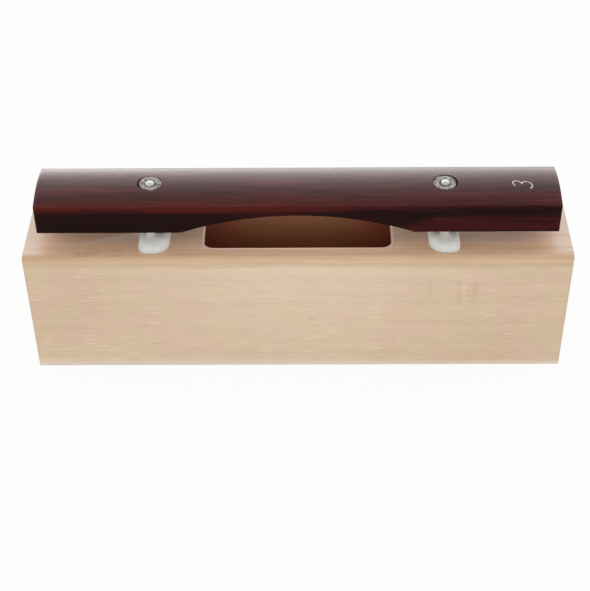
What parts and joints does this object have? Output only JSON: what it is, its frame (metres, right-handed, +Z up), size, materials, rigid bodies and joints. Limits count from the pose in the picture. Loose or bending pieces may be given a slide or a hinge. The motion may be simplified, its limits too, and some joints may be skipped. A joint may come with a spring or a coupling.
{
  "type": "chime bar",
  "caption": "Tuned rosewood bar floating on two soft saddles and pins over its own slotted maple resonator box.",
  "frame": {"origin": "centre of the resonator box's underside, on the surface that it stands on", "axes": "+Z up, +X along the bar to the right, +Y from the front of the box to its back"},
  "size_m": [0.318, 0.058, 0.1182],
  "materials": {
    "maple": "clear satin lacquer",
    "maple_inner": "bare planed",
    "rosewood": "polished satin",
    "white_rubber": "smooth",
    "grey_felt": "pressed felt",
    "pin_steel": "nickel plated"
  },
  "bodies": {
    "root": {"front_wall": "maple", "back_wall": "maple", "left_end_wall": "maple", "right_end_wall": "maple", "top_board": "maple", "bottom_board": "maple_inner", "pin_block_left": "maple_inner", "pin_block_right": "maple_inner", "bar_saddle_left": "white_rubber", "bar_saddle_right": "white_rubber", "pin_sleeve_left": "white_rubber", "pin_sleeve_right": "white_rubber", "bar_pin_left": "pin_steel", "bar_pin_right": "pin_steel"},
    "bar": {"tone_bar": "rosewood", "felt_washer_left": "grey_felt", "felt_washer_right": "grey_felt"}
  },
  "joints": [
    {"name": "bar_float", "type": "slide", "parent": "root", "child": "bar", "axis": [0, 0, 1], "range_m": [0, 0.0006]}
  ]
}
